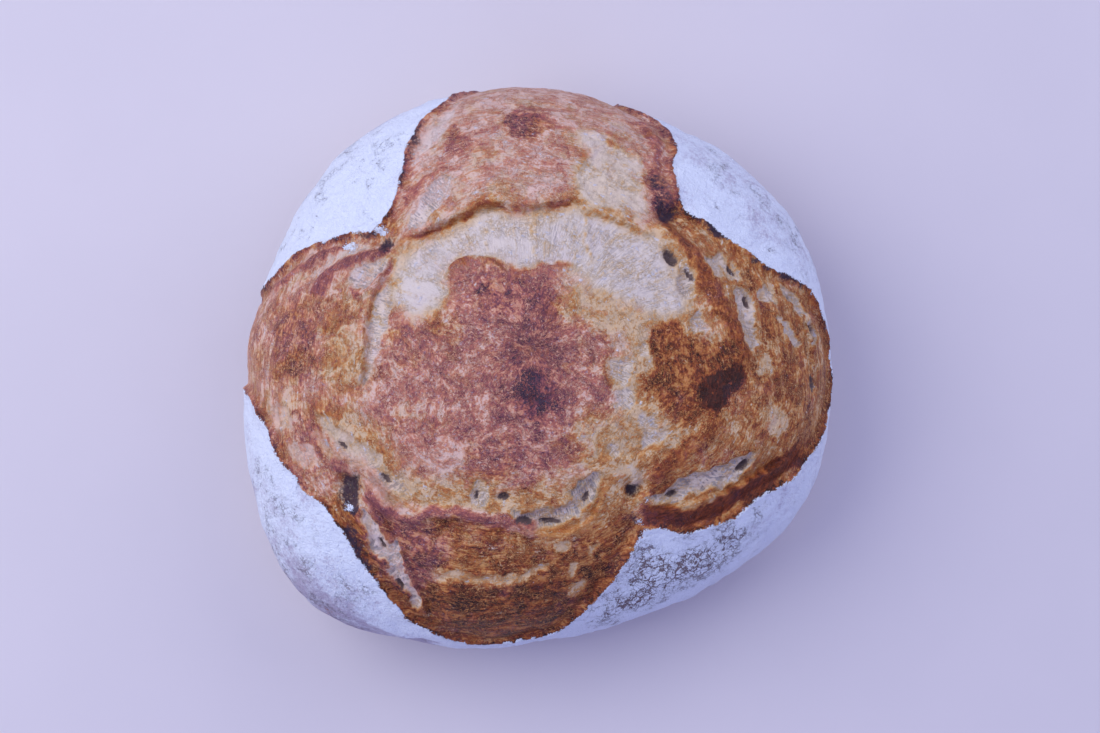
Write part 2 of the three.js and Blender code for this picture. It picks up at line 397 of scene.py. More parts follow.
# Gas pockets that tore open: outlines, with how deep they are
pockets = {
    "leftWedge": (1.6, [(-48, 29), (-52, 26), (-55, 21), (-51, 18), (-48, 21), (-45, 27)]),
    "paleStreak": (0.9, [
        (-44, 21), (-42, 17), (-43, 9), (-45, 2), (-48, -6), (-51, -12), (-51, 0), (-48, 12)]),
    "topLeft": (1.1, [
        (-37, 60), (-38, 65), (-34, 73), (-26, 78), (-22, 82), (-24, 75), (-28, 68), (-31, 64)]),
    "topLeftLow": (1.2, [(-37, 44), (-32, 50), (-26, 53), (-25, 49), (-28, 43), (-34, 39), (-38, 39)]),
    "topRight": (0.7, [(20, 66), (26, 63), (32, 58), (33, 48), (31, 41), (25, 43), (17, 46), (15, 55)]),
    "besideHole": (1.3, [(44, 27), (48, 26), (50, 21), (49, 16), (46, 17), (44, 22)]),
    "underStrap": (1.0, [(48, 9), (50, 11), (53, 9), (53, 5), (50, 4), (48, 6)]),
    "right1": (1.7, [(53, 29), (57, 30), (62, 27), (61, 22), (57, 22), (54, 25)]),
    "right2": (1.8, [(59, 19), (64, 20), (66, 15), (67, 7), (65, 0), (62, 3), (61, 10)]),
    "right3": (1.4, [(68, 20), (71, 21), (74, 18), (75, 14), (71, 16), (68, 17)]),
    "right4": (1.3, [(74, 12), (77, 10), (80, 4), (78, 3), (75, 7)]),
    "right5": (1.8, [(77, 21), (81, 20), (83, 16), (81, 13), (79, 16)]),
    "right6": (1.8, [(83, 13), (86, 10), (87, 5), (85, 3), (83, 8)]),
    "cellA": (1.1, [(22, -4), (26, -3), (29, -7), (27, -12), (24, -10), (22, -7)]),
    "cellB": (0.8, [(30, 2), (33, 3), (34, -1), (31, -2)]),
    "cellC": (0.8, [(25, -13), (30, -12), (31, -16), (28, -19), (25, -16)]),
    "cellD": (1.0, [(33, -20), (38, -20), (40, -24), (37, -28), (33, -29)]),
    "cellE": (0.9, [(22, -27), (25, -27), (26, -30), (23, -31)]),
    "lowerRight": (2.0, [
        (34, -44), (38, -45.5), (41, -45), (46, -43.5), (54, -41.5), (60, -39.5), (64, -37), (67, -34),
        (67, -31), (62, -32), (57, -34), (51, -36), (44, -38), (41, -40), (36, -43)]),
    "bottomHollow": (2.2, [
        (-8, -47), (-4, -47), (3, -47), (9, -46), (13, -42), (16, -38), (19, -36), (19, -40), (17, -46),
        (13, -50), (9, -52), (3, -53), (-4, -51)]),
    "crownFoot": (1.2, [(-19, -40), (-15, -40), (-14, -44), (-17, -46), (-20, -44)]),
    "groove": (1.5, [
        (-64, -19), (-58, -22), (-51, -29), (-44, -35), (-38, -40), (-38, -44), (-44, -42), (-50, -36),
        (-57, -31), (-62, -25)]),
    "bottomLeft": (1.9, [
        (-52, -46), (-49, -47), (-46, -51), (-43, -56), (-40, -63), (-37, -69), (-35, -75), (-37, -77),
        (-41, -72), (-44, -64), (-48, -60), (-51, -54), (-52, -49)]),
    "leftA": (0.9, [(-81, -16), (-77, -15), (-73, -19), (-73, -24), (-77, -23), (-80, -19)]),
    "leftB": (0.9, [(-73, -28), (-69, -27), (-66, -31), (-66, -35), (-69, -35), (-73, -32)]),
    "bottomA": (0.7, [(7, -57), (10, -56), (11, -59), (8, -60)]),
    "bottomB": (0.7, [(16, -57), (18, -57), (19, -60), (16, -61)]),
    "bottomC": (0.8, [(9, -63), (12, -63), (12, -66), (9, -66)]),
    "bottomD": (0.9, [(11, -68), (15, -67), (16, -71), (12, -73)]),
    "bottomStrip": (0.9, [
        (-32, -64), (-27, -66), (-22, -65), (-16, -66), (-7, -66), (3, -63), (3, -65), (-7, -68),
        (-16, -69), (-24, -68), (-31, -67)]),
}
pocketAmount = np.zeros(len(crust))
for depth, outline in pockets.values():
    inner = insideBy(outline, 6.0, crust + 0.9 * tatter, plan + 0.9 * tatter[:, :2])
    raisedRim = np.exp(-((inner + 0.7) / 0.8) ** 2)
    relief += -0.8 * depth * smoothStep(-0.3, 2.0, inner) + 0.2 * depth * raisedRim
    pocketAmount = np.maximum(pocketAmount, smoothStep(-0.4, 0.9, inner))

# Small deep holes: place, long and short half-width, turn in degrees, depth
holes = [
    ((41.3, 28.2), 3.2, 1.8, -58, 2.4), ((46.8, 23.0), 2.6, 0.8, -55, 0.8),
    ((60.5, 25.5), 1.8, 0.8, -60, 1.6), ((64.5, 16), 2.3, 0.8, -72, 1.4),
    ((79.5, 17.5), 2.0, 0.8, -60, 1.6), ((85.5, 8), 2.6, 0.8, -76, 1.8), ((84, -8), 2.6, 0.7, -85, 1.2),
    ((42, -43), 1.9, 0.9, 20, 1.6), ((64, -34), 2.8, 1.1, 40, 2.2),
    ((-9, -43.5), 1.9, 1.2, 10, 2.2), ((-17, -43), 1.4, 0.8, 70, 1.0),
    ((-58, -28), 1.8, 0.8, -45, 1.2), ((-44.5, -38), 2.2, 0.9, -45, 1.4),
    ((-46, -58), 2.2, 0.9, -60, 1.6), ((-41, -70), 2.0, 0.8, -60, 1.3),
    ((5, -51), 3.4, 0.9, 0, 1.6), ((16, -44), 2.0, 0.8, 62, 1.2), ((-3, -50.5), 2.8, 0.9, -10, 1.6),
]
holeAmount = np.zeros(len(crust))
for (x, y), longHalf, shortHalf, turn, depth in holes:
    across, up = plan[:, 0] + 0.3 * wobble[:, 0] - x, plan[:, 1] + 0.3 * wobble[:, 1] - y
    c, s = math.cos(math.radians(turn)), math.sin(math.radians(turn))
    spread = np.hypot((across * c + up * s) / longHalf, (up * c - across * s) / shortHalf)
    relief -= depth * smoothStep(1.25, 0.45, spread)
    holeAmount = np.maximum(holeAmount, smoothStep(1.3, 0.7, spread))

# Pits at the four inner corners of the cross, where the tears meet: place, depth, reach
pits = [((-45, 33.5), 2.2, 3.2), ((42, 42), 3.6, 4.6), ((-56, -39.5), 3.6, 4.0), ((29.5, -41), 4.2, 3.0)]
pitAmount = np.zeros(len(crust))
for (x, y), depth, reach in pits:
    near = bell(raggedPlan, x, y, reach)
    relief -= depth * near
    pitAmount = np.maximum(pitAmount, near)

# Grain: crust wrinkles along the arms, and torn crumb pulls out in threads across the tears
reachOut = way * 118 + softNoise(crust, 22, 11) * 4.0
turned = angle + softNoise(crust, 16, 12) * 0.08
roundGrain = np.stack([np.cos(turned) * 14, np.sin(turned) * 14, reachOut / 1.2], 1)
outGrain = np.stack([np.cos(turned) * 34, np.sin(turned) * 34, reachOut / 6], 1)
wrinkle = softNoise(roundGrain * 0.6, 1.0, 21, 2)
thread = softNoise(outGrain * 0.8, 1.0, 22, 2)
lumps = softNoise(crust, 9, 31, 3)
grit = softNoise(crust, 2.0, 32, 2)
swell = softNoise(crust, 36, 33)
relief += crumbAmount * (0.28 * lumps + 0.17 * grit + 0.16 * wrinkle + 0.22 * pocketAmount * thread)
relief += (1 - crumbAmount) * (0.8 * swell + 0.5 * lumps + 0.14 * grit) * smoothStep(2.0, 1.7, way)
relief *= smoothStep(2.0, 1.75, way)

shaped = crust + relief[:, None] * outward + shove
shaped[:, 2] = np.where(way >= 2, crust[:, 2], np.maximum(shaped[:, 2], 0.02))
print("shape: done")

# How the crust baked: 0 pale crumb, 0.3 golden, 0.6 red-brown, 0.9 nearly black

bake = np.full(len(crust), 0.5)
# rosy crust is partly a redder baked tone and partly a painted lilac sheen of reflected sky
rosy = np.zeros(len(crust))  # 0 amber crust, 1 rosy crust
torn = np.zeros(len(crust))  # 1 where crumb pulled into threads
calm = np.zeros(len(crust))  # 1 on straps and lips, which baked evenly
paintBlur = 1.9  # the material's own noise breaks these soft borders up


def paint(channel, value, outline, soft=1.5, strength=1.0):
    blur = soft * min(soft, paintBlur)
    amount = strength * smoothStep(-blur, blur, insideBy(outline))
    channel += (value - channel) * amount


def paintLine(channel, value, points, width, soft=1.0, strength=1.0):
    which, side, share, _ = nearLine(points, 10, ragged)
    amount = strength * smoothStep(width + soft, width - soft, np.abs(side)) * fadeEnds(share, 0.08)
    channel[which] += (value - channel[which]) * amount


topLobe = [
    (-41, 36), (-28, 40), (-12, 45), (-2, 42), (12, 46), (36, 38), (48, 44), (46, 66), (38, 80), (24, 92),
    (8, 104), (-8, 104), (-22, 90), (-38, 76), (-44, 56)]
leftLobe = [
    (-43, 34), (-48, 20), (-51, 0), (-53, -14), (-66, -18), (-58, -32), (-62, -48), (-80, -34), (-92, -12),
    (-106, 0), (-104, 12), (-84, 30), (-60, 40)]
bottomLobe = [
    (-54, -46), (-36, -49), (-20, -48), (-4, -51), (4, -56), (20, -50), (32, -48), (36, -58), (22, -76),
    (0, -90), (-24, -92), (-46, -78), (-60, -56)]
rightLobe = [
    (44, 44), (50, 28), (60, 8), (62, -6), (50, -24), (34, -40), (32, -54), (60, -54), (90, -30), (98, 0),
    (92, 24), (70, 36)]
crownPatch = [
    (-25, 25), (-19, 28), (-13, 27), (-9, 24), (-3, 23), (4, 25), (10, 24), (8, 19), (7, 13), (9, 8),
    (16, 6), (22, 4), (23, -1), (21, -4), (22, -10), (24, -16), (20, -19), (13, -21), (12, -26), (14, -30),
    (11, -35), (2, -40), (-6, -40), (-14, -38), (-20, -36), (-24, -30), (-26, -21), (-26, -12), (-25, 0),
    (-26, 12)]

# the rosy channel paints a redder crust together with a painted lilac sheen of reflected sky
paint(bake, 0.34, [(-50, 38), (46, 46), (66, 0), (34, -46), (0, -56), (-54, -46), (-56, 0)], 2.0)
paint(bake, 0.29, topLobe, 1.5)
paint(rosy, 0.78, topLobe, 4.0)
paint(bake, 0.37, leftLobe, 1.5)
paint(rosy, 0.62, leftLobe, 4.0)
paint(bake, 0.66, bottomLobe, 1.5)
paint(rosy, 0.05, bottomLobe, 4.0)
paint(rosy, 0.7, [(-54, -44), (-36, -50), (-27, -56), (-30, -66), (-36, -77), (-46, -66)], 2.5)
paint(bake, 0.42, rightLobe, 1.5)
paint(rosy, 0.05, rightLobe, 4.0)

# the pale crescent at the crown's top, and its mottled right side
crescent = [
    (-41, 27), (-34, 33), (-25, 38), (-13, 42), (-1, 40), (14, 43), (26, 39), (36, 34), (43, 25), (47, 16),
    (46, 11), (38, 10), (32, 13), (23, 15), (14, 18), (10, 22), (-4, 22), (-10, 24), (-16, 27), (-25, 25),
    (-26, 18), (-31, 12), (-37, 10), (-42, 10), (-43, 19)]
paint(bake, 0.02, crescent, 2.2)
paint(torn, 1.0, crescent, 3.0)
paint(bake, 0.22, [
    (12, 20), (20, 17), (32, 13), (36, 7), (34, -3), (32, -15), (38, -21), (33, -30), (20, -31), (14, -28),
    (13, -22), (22, -19), (24, -15), (22, -6), (23, 3), (16, 6), (9, 10)], 1.8)
paint(bake, 0.51, crownPatch, 1.2)
paint(rosy, 1.0, crownPatch, 4.0)
paint(bake, 0.74, [(-14, 22), (-4, 20), (6, 21), (6, 10), (0, 8), (-10, 10), (-17, 14)], 2.2, 0.8)
paint(bake, 0.54, [
    (-43, 9), (-39, 10), (-35, 6), (-31, 10), (-26, 12), (-24, 0), (-24, -15), (-28, -26), (-34, -31),
    (-41, -28), (-46, -18), (-46, -6)], 2.0)
paint(bake, 0.44, [(-44, -8), (-36, -8), (-30, -14), (-31, -26), (-38, -28), (-45, -18)], 2.5)
paint(rosy, 0.9, [(-43, 9), (-31, 10), (-24, 0), (-22, -24), (-26, -38), (-44, -30), (-50, -12)], 4.0)
paint(bake, 0.74, [(-6, 2), (2, 15), (8, 10), (7, -4), (8, -18), (0, -24), (-8, -18), (-9, -8)], 3.0, 0.8)
navel = [(-3, -8), (2, -6), (4, -10), (5, -16), (1, -20), (-3, -16)]
paint(bake, 0.98, navel, 1.8)
paint(calm, 0.6, navel, 1.8)
paint(bake, 0.66, [
    (-20, -26), (-10, -27), (2, -27), (3, -36), (-4, -40), (-13, -39), (-20, -34)], 2.5, 0.7)
paint(bake, 0.30, [(-31, -37), (-24, -38), (-21, -45), (-29, -47), (-35, -45)], 2.0)
paint(bake, 0.32, [(-36, -30), (-28, -30), (-26, -38), (-34, -42), (-40, -36)], 2.5)

# brown patch right of the crown, with the glossy scorched spot on its edge
paint(bake, 0.73, [
    (35, 6), (41, 9), (45, 7), (47, 3), (52, 2), (58, 4), (62, 0), (61, -6), (60, -11), (57, -16),
    (54, -20), (49, -20), (44, -21), (40, -18), (36, -16), (34, -11), (36, -5), (34, 1)], 1.6)
scorch = [(53, -8), (60, -4), (63, -8), (60, -14), (56, -18), (52, -17), (50, -13)]
paint(bake, 0.96, scorch, 1.3)
paint(calm, 0.9, scorch, 1.3)
paint(bake, 0.58, [
    (33, -42), (34, -35), (38, -31), (45, -26), (52, -20), (56, -22), (52, -29), (45, -33), (43, -38),
    (39, -41)], 1.4)

# right lobe: brown rim, golden middle
paint(bake, 0.50, [
    (63, 30), (73, 26), (84, 20), (92, 4), (92, -16), (84, -32), (70, -40), (76, -28), (82, -14), (84, 0),
    (80, 12), (70, 22)], 2.5)
paint(bake, 0.64, [(68, 17), (71, 16), (74, 12), (75, 7), (71, 5), (69, 11)], 0.9)
paint(bake, 0.56, [(75, 16), (79, 12), (82, 5), (82, -2), (79, 1), (76, 9)], 0.9)
paint(bake, 0.58, [(63, 29), (66, 26), (68, 21), (66, 20), (62, 24), (61, 28)], 0.9)
paint(bake, 0.52, [(79, -7), (88, -4), (91, -12), (87, -24), (79, -30), (74, -30), (79, -21)], 2.5)
paint(bake, 0.60, [(64, -2), (76, 2), (82, -8), (78, -26), (64, -22)], 2.5)
paint(bake, 0.18, [(67, -1), (70, 0), (71, -6), (67, -7)], 1.2)
paint(bake, 0.20, [(70, -16), (75, -16), (77, -20), (73, -24), (69, -21)], 1.5)

# left lobe
paint(bake, 0.49, [
    (-81, 19), (-72, 19), (-62, 17), (-55, 14), (-56, 4), (-62, -8), (-68, -13), (-76, -11), (-83, -3),
    (-86, 7), (-84, 15)], 3.0, 0.8)
paint(bake, 0.70, [
    (-76, 14), (-72, 16), (-68, 11), (-66, 3), (-67, -6), (-71, -8), (-75, -7), (-77, 2)], 2.0, 0.8)
paint(bake, 0.30, [(-60, 8), (-54, 8), (-51, 1), (-53, -9), (-57, -12), (-60, -5)], 2.0)
paint(rosy, 0.1, [(-62, 8), (-54, 8), (-51, 1), (-53, -12), (-60, -12)], 3.0)
paint(bake, 0.53, [
    (-71, -14), (-62, -19), (-57, -30), (-59, -36), (-63, -39), (-71, -36), (-77, -26)], 2.0)
paint(bake, 0.06, [(-63, 34), (-58, 35), (-53, 34), (-49, 33), (-54, 30), (-62, 28)], 0.9)
paint(bake, 0.12, [(-76, 28), (-73, 32), (-67, 33), (-65, 30), (-70, 28)], 0.9)
paint(bake, 0.14, [(-70, 25), (-64, 28), (-58, 28), (-60, 26), (-66, 23)], 0.9)

# top lobe
paint(bake, 0.56, [(-27, 68), (-24, 72), (-20, 68), (-20, 60), (-23, 58), (-27, 62)], 1.5)
paint(bake, 0.68, [(-8, 74), (-1, 77), (4, 73), (5, 68), (-1, 65), (-8, 67)], 2.0)
paint(bake, 0.32, [(-20, 60), (-10, 61), (2, 59), (3, 54), (-10, 53), (-18, 55)], 2.0)
paint(bake, 0.36, [(3, 67), (10, 68), (14, 64), (14, 57), (8, 55), (3, 58)], 2.0)
paint(bake, 0.06, [
    (15, 68), (20, 66), (26, 63), (30, 60), (33, 57), (33, 50), (34, 44), (31, 40), (25, 43), (17, 44),
    (14, 48), (14, 54), (16, 59), (14, 64)], 1.5)
paint(bake, 0.14, [(24, 72), (30, 71), (31, 68), (25, 68)], 1.2)
paint(torn, 0.6, [(15, 68), (30, 60), (34, 44), (17, 44), (14, 54)], 2.0)
paint(rosy, 0.1, [(15, 68), (30, 61), (34, 44), (30, 40), (16, 44), (13, 54)], 2.5)
paint(bake, 0.42, [(34, 74), (38, 76), (43, 68), (43, 52), (38, 46), (35, 56), (36, 66)], 1.5)
paint(bake, 0.88, [
    (36, 57), (39, 52), (44, 48), (45, 42), (43, 38), (40, 38), (37, 44), (35, 51)], 2.6, 0.9)

# bottom lobe
paint(bake, 0.62, [(-31, -51), (-22, -50), (-10, -51), (-6, -56), (-8, -60), (-19, -62), (-28, -60)], 2.0)
paint(bake, 0.48, [(-9, -54), (-1, -57), (5, -54), (4, -58), (-4, -60)], 1.5)
paint(bake, 0.80, [
    (-35, -71), (-25, -70), (-10, -70), (5, -67), (20, -63), (28, -60), (20, -71), (11, -79), (-1, -83),
    (-17, -84), (-29, -81)], 2.5)
paint(bake, 0.72, [
    (-52, -50), (-54, -58), (-48, -66), (-40, -76), (-37, -78), (-44, -66), (-48, -60)], 1.5)
paint(bake, 0.70, [(-38, -50), (-32, -52), (-32, -58), (-38, -66), (-42, -58)], 2.0)

# pale, greyish pockets, and dark holes in them
paleOf = {"leftA": 0.20, "leftB": 0.18, "bottomStrip": 0.24, "bottomA": 0.2, "bottomB": 0.2, "bottomC": 0.2,
          "bottomD": 0.26, "topLeft": 0.06, "groove": 0.1,
          "topRight": 0.08}
gas = np.zeros(len(crust))
for name, (depth, outline) in pockets.items():
    paint(bake, paleOf.get(name, 0.05), outline, 1.3 if name in paleOf else 0.7)
    paint(torn, 0.5 if name in paleOf else 1.0, outline, 0.8)
    if name not in paleOf:
        paint(gas, (0.45 if name.startswith("right") else 0.75) * min(1.0, 0.4 + 0.3 * depth), outline, 1.2)
paint(gas, 0.7, [(-50, -33), (-44, -36), (-38, -41), (-40, -44), (-46, -40), (-52, -35)], 1.2)
paint(gas, 0.35, [(-34, 38), (-28, 40), (-26, 35), (-30, 30), (-36, 32)], 2.0)
paint(gas, 0.35, [(2, 38), (14, 38), (14, 32), (8, 28), (2, 32)], 2.5)
paint(gas, 0.3, [(19, 38), (28, 36), (36, 30), (38, 20), (30, 18), (20, 26)], 3.0)

# straps, lips and thin threads of crust
for _, _, value, width, points in straps.values():
    if value is not None:
        paintLine(bake, value, points, width, 0.7)
        paintLine(torn, 0.0, points, width, 0.7)
        paintLine(gas, 0.0, points, width, 0.7)
        paintLine(calm, 0.6, points, width + 0.3, 0.8)
# rosy straps: redder crust with a painted lilac sheen
for name in ("leftStrapInner", "leftStrapOuter", "pocketRim", "bottomStrap"):
    *_, width, points = straps[name]
    paintLine(rosy, 1.0, points, width + 0.5, 0.8)
paintLine(rosy, 0.7, lips["groove"][-1], 3.0, 1.5)
for *_, value, width, points in lips.values():
    if value is not None:
        paintLine(bake, value, points, width, 0.6)
        paintLine(gas, 0.0, points, width, 0.6)
        paintLine(calm, 0.7, points, width + 0.2, 0.7)

# the skin's cut edge scorches, most at the corners of the cross
edgeBand = np.exp(-np.abs(skin + 0.6) / 1.5) * (0.85 + 0.35 * softNoise(crust, 8, 51, 2))
bake += (0.66 - bake) * np.clip(edgeBand, 0, 1) * (skin < 2)
calm = np.maximum(calm, 0.6 * np.clip(edgeBand, 0, 1))
lowerRim = [
    (32, -48.5), (38, -49.5), (46, -49.5), (52, -47.5), (60, -44.5), (68, -40), (76, -34), (84, -26.5)]
paintLine(bake, 0.80, lowerRim, 3.1, 0.8)
paintLine(calm, 0.9, lowerRim, 3.1, 0.8)
# painted shade: the insides of the small holes are painted dark
holeShadeAmount = np.clip(holeAmount * 1.1, 0, 1)
char = np.clip(pitAmount * 1.3 - 0.25, 0, 1)
burntEdges = [
    (1.0, 2.2, [(44, 50), (46, 45), (49, 43), (53, 41), (57, 37), (62, 34)]),
    (1.0, 1.4, [(60, 35), (65, 32), (73, 27), (82, 24), (86, 20), (89, 14)]),
    (0.9, 1.6, [(-57, 37), (-52, 37), (-48, 38), (-46, 41)]),
    (1.0, 1.1, [(-46, 40), (-42, 47), (-41, 53), (-40, 59), (-38, 66), (-33, 76), (-28, 81)]),
    (0.9, 1.1, [(-81, 26), (-71, 34), (-60, 37)]),
    (0.8, 2.0, [(-47, 36), (-44, 35), (-42, 33)]),
    (0.8, 2.2, [(-62, -46), (-58, -51), (-55, -57), (-50, -66), (-44, -74)]),
    (0.95, 3.4, [(-59, -35), (-57, -40), (-56.5, -45), (-54, -53)]),
    (0.65, 3.4, [(37, 62), (38, 54), (40, 48), (44, 41), (47, 37)]),
    (0.9, 1.2, [(33, -54), (31, -50), (30, -44)]),
]
for value, width, points in burntEdges:
    which, side, share, _ = nearLine(points, 8, ragged)
    taper = fadeEnds(share, 0.35)
    amount = value * smoothStep(1.6, -1.6, np.abs(side) - width * taper + 1.6 * (1 - taper))
    char[which] = np.maximum(char[which], amount)

# flour: how thick it lies on the skin, and how crackled it is
flour = smoothStep(1.95, 1.0, way) * 0.95 + 0.15 + 0.25 * softNoise(crust, 18, 41, 2)
for value, outline in [
    (0.84, [(-86, -30), (-74, -48), (-60, -66), (-48, -80), (-62, -86), (-80, -66), (-94, -46)]),
    (0.30, [
        (-76, -62), (-66, -70), (-55, -79), (-42, -85), (-30, -87), (-34, -98), (-58, -100), (-80, -82)]),
    (0.85, [(46, 74), (50, 52), (64, 42), (84, 28), (96, 20), (92, 48), (70, 70)]),
]:
    paint(flour, value, outline, 3.5)
crackle = np.full(len(crust), 0.20) + 0.25 * softNoise(crust, 20, 42, 2)
for value, outline in [
    (1.0, [
        (12, -80), (21, -71), (33, -57), (50, -54), (64, -48), (72, -44), (64, -58), (48, -70),
        (28, -80)]),
    (0.45, [(-88, -30), (-76, -42), (-62, -56), (-52, -72), (-60, -88), (-80, -78), (-98, -52)]),
    (0.65, [(-88, -54), (-78, -76), (-58, -96), (-44, -100), (-50, -84), (-66, -70), (-78, -54)]),
    (0.45, [(50, 60), (58, 46), (70, 40), (88, 26), (96, 20), (84, 46), (68, 62), (54, 70)]),
    (0.55, [(-72, 62), (-62, 50), (-46, 56), (-46, 72), (-60, 76)]),
]:
    paint(crackle, value, outline, 3.5)
dusted = [((-47, 38.5), 2.4), ((-57, 33.5), 2.6), ((-57, -47), 1.8), ((33, -51), 1.6), ((35, -45), 1.0)]
dust = np.zeros(len(crust))  # loose flour that fell onto the crumb
for (x, y), reach in dusted:
    dust = np.maximum(dust, bell(raggedPlan, x, y, reach))
print("bake: done")

low, high = shaped.min(0), shaped.max(0)
middle = np.array([(low[0] + high[0]) / 2, (low[1] + high[1]) / 2, 0.0])
for vert, place in zip(doughMesh.verts, (shaped - middle) * mm):
    vert.co = place
order = doughMesh.verts.layers.int.new("order")
for vert in doughMesh.verts:
    vert[order] = vert.index
bmesh.ops.remove_doubles(doughMesh, verts=doughMesh.verts, dist=1e-6)
bmesh.ops.recalc_face_normals(doughMesh, faces=doughMesh.faces)
kept = np.array([vert[order] for vert in doughMesh.verts])
doughMesh.verts.layers.int.remove(order)

mesh = bpy.data.meshes.new("sourdoughLoaf")
doughMesh.to_mesh(mesh)
doughMesh.free()
mesh.shade_smooth()
crustPaint = {
    "skin": skin, "bake": bake, "rosy": rosy, "torn": torn, "calm": calm, "gas": gas, "hole": holeShadeAmount,
    "char": char, "flour": flour, "crackle": crackle, "dust": dust, "under": smoothStep(1.8, 2.0, way),
}
for name, values in crustPaint.items():
    layer = mesh.attributes.new(name, "FLOAT", "POINT")
    layer.data.foreach_set("value", values[kept].astype(np.float32))
for name, values in {"roundGrain": roundGrain, "outGrain": outGrain}.items():
    layer = mesh.attributes.new(name, "FLOAT_VECTOR", "POINT")
    layer.data.foreach_set("vector", values[kept].astype(np.float32).ravel())
loaf = bpy.data.objects.new("sourdoughLoaf", mesh)
bpy.context.scene.collection.objects.link(loaf)
triangles = sum(len(face.vertices) - 2 for face in mesh.polygons)
print(f"loaf: {triangles} triangles")


# A small helper for node trees: add a node, set its sockets, and link what is another node's output
class Tree:
    def __init__(self, material):
        material.use_nodes = True
        self.tree = material.node_tree
        self.tree.nodes.clear()

    def add(self, kind, inputs=None, **settings):
        node = self.tree.nodes.new(kind)
        for key, value in settings.items():
            setattr(node, key, value)
        for key, value in (inputs or {}).items():
            if isinstance(value, bpy.types.NodeSocket):
                self.tree.links.new(value, node.inputs[key])
            else:
                node.inputs[key].default_value = value
        return node

    def math(self, operation, a, b=0.0, clamp=False):
        return self.add("ShaderNodeMath", {0: a, 1: b}, operation=operation, use_clamp=clamp).outputs[0]

    def times(self, value, *others):
        for other in others:
            value = self.math("MULTIPLY", value, other)
        return value

    # A sum of values, each with its weight
    def weigh(self, *pairs):
        total = 0.0
        for value, weight in pairs:
            total = self.math("ADD", total, self.times(value, weight))
        return total

    # A value moved up and down by noises, each with its amount
    def stray(self, value, *pairs):
        for noise, amount in pairs:
            value = self.math("ADD", value, self.times(self.math("SUBTRACT", noise, 0.5), amount))
        return value

    def fade(self, value, low, high, to=(0.0, 1.0)):
        return self.add(
            "ShaderNodeMapRange",
            {"Value": value, "From Min": low, "From Max": high, "To Min": to[0], "To Max": to[1]},
            interpolation_type="SMOOTHSTEP",
        ).outputs[0]

    # 1 on a thin line where a noise passes a level, 0 away from it
    def ridge(self, noise, width, level=0.5):
        return self.fade(self.math("ABSOLUTE", self.math("SUBTRACT", noise, level)), width, 0.0)

    def mix(self, factor, a, b):
        return self.add("ShaderNodeMix", {0: factor, 2: a, 3: b}, data_type="FLOAT").outputs[0]

    def blend(self, factor, a, b):
        return self.add("ShaderNodeMix", {0: factor, 6: a, 7: b}, data_type="RGBA").outputs[2]

    def noise(self, vector, scale, detail=3.0, rough=0.55, output="Fac"):
        inputs = {"Vector": vector, "Scale": scale, "Detail": detail, "Roughness": rough}
        return self.add("ShaderNodeTexNoise", inputs).outputs[output]

    # A place moved about by noise, so that a pattern that reads it curls
    def curled(self, vector, scale, detail, rough, distance):
        turn = {0: self.noise(vector, scale, detail, rough, "Color"), "Scale": distance}
        shift = self.add("ShaderNodeVectorMath", turn, operation="SCALE").outputs[0]
        return self.add("ShaderNodeVectorMath", {0: vector, 1: shift}, operation="ADD").outputs[0]

    def attribute(self, name, output="Fac"):
        return self.add("ShaderNodeAttribute", attribute_name=name).outputs[output]

    def ramp(self, value, stops):
        node = self.add("ShaderNodeValToRGB", {"Fac": value})
        ramp = node.color_ramp
        while len(ramp.elements) < len(stops):
            ramp.elements.new(0.5)
        for element, (place, colour) in zip(ramp.elements, stops):
            element.position = place
            element.color = (*colour, 1)
        return node.outputs["Color"]


crustLook = {
    # colour against how far the crust has baked; the rosy one is partly the crust's own redder tone and
    # partly a painted lilac sheen of reflected sky
    "amber": [(0.0, (0.76, 0.665, 0.62)), (0.13, (0.75, 0.57, 0.40)), (0.25, (0.69, 0.43, 0.21)),
              (0.38, (0.61, 0.265, 0.075)), (0.55, (0.455, 0.134, 0.032)), (0.72, (0.25, 0.052, 0.015)),
              (0.88, (0.105, 0.024, 0.010)), (1.0, (0.045, 0.014, 0.007))],
    "rosy": [(0.0, (0.77, 0.65, 0.63)), (0.13, (0.77, 0.57, 0.47)), (0.25, (0.76, 0.46, 0.34)),
             (0.38, (0.67, 0.30, 0.175)), (0.55, (0.50, 0.155, 0.098)), (0.72, (0.29, 0.082, 0.076)),
             (0.88, (0.14, 0.042, 0.058)), (1.0, (0.05, 0.03, 0.045))],
    # colour of the painted highlights on the crust
    "paintedGlint": (0.74, 0.58, 0.58, 1),
    "gas": (0.33, 0.295, 0.285, 1),
    # painted shade on the floors of the gas pockets
    "paintedPocketShade": (0.16, 0.12, 0.12, 1),
    # painted shade inside the small holes
    "hole": (0.17, 0.11, 0.095, 1),
    "char": (0.042, 0.028, 0.045, 1),
    "flour": (0.85, 0.86, 0.89, 1),
    "thinFlour": (0.50, 0.42, 0.49, 1),
    "underFlour": (0.15, 0.07, 0.065, 1),
    "roughness": (0.66, 0.32),  # of pale crumb and of dark crust
    "flourRoughness": 0.95,
    "gloss": 0.24,
    "bump": 0.8,
    "bumpDepth": 0.0008,
    "darkest": -0.34,  # grain makes no place darker than its paint by more than this
}

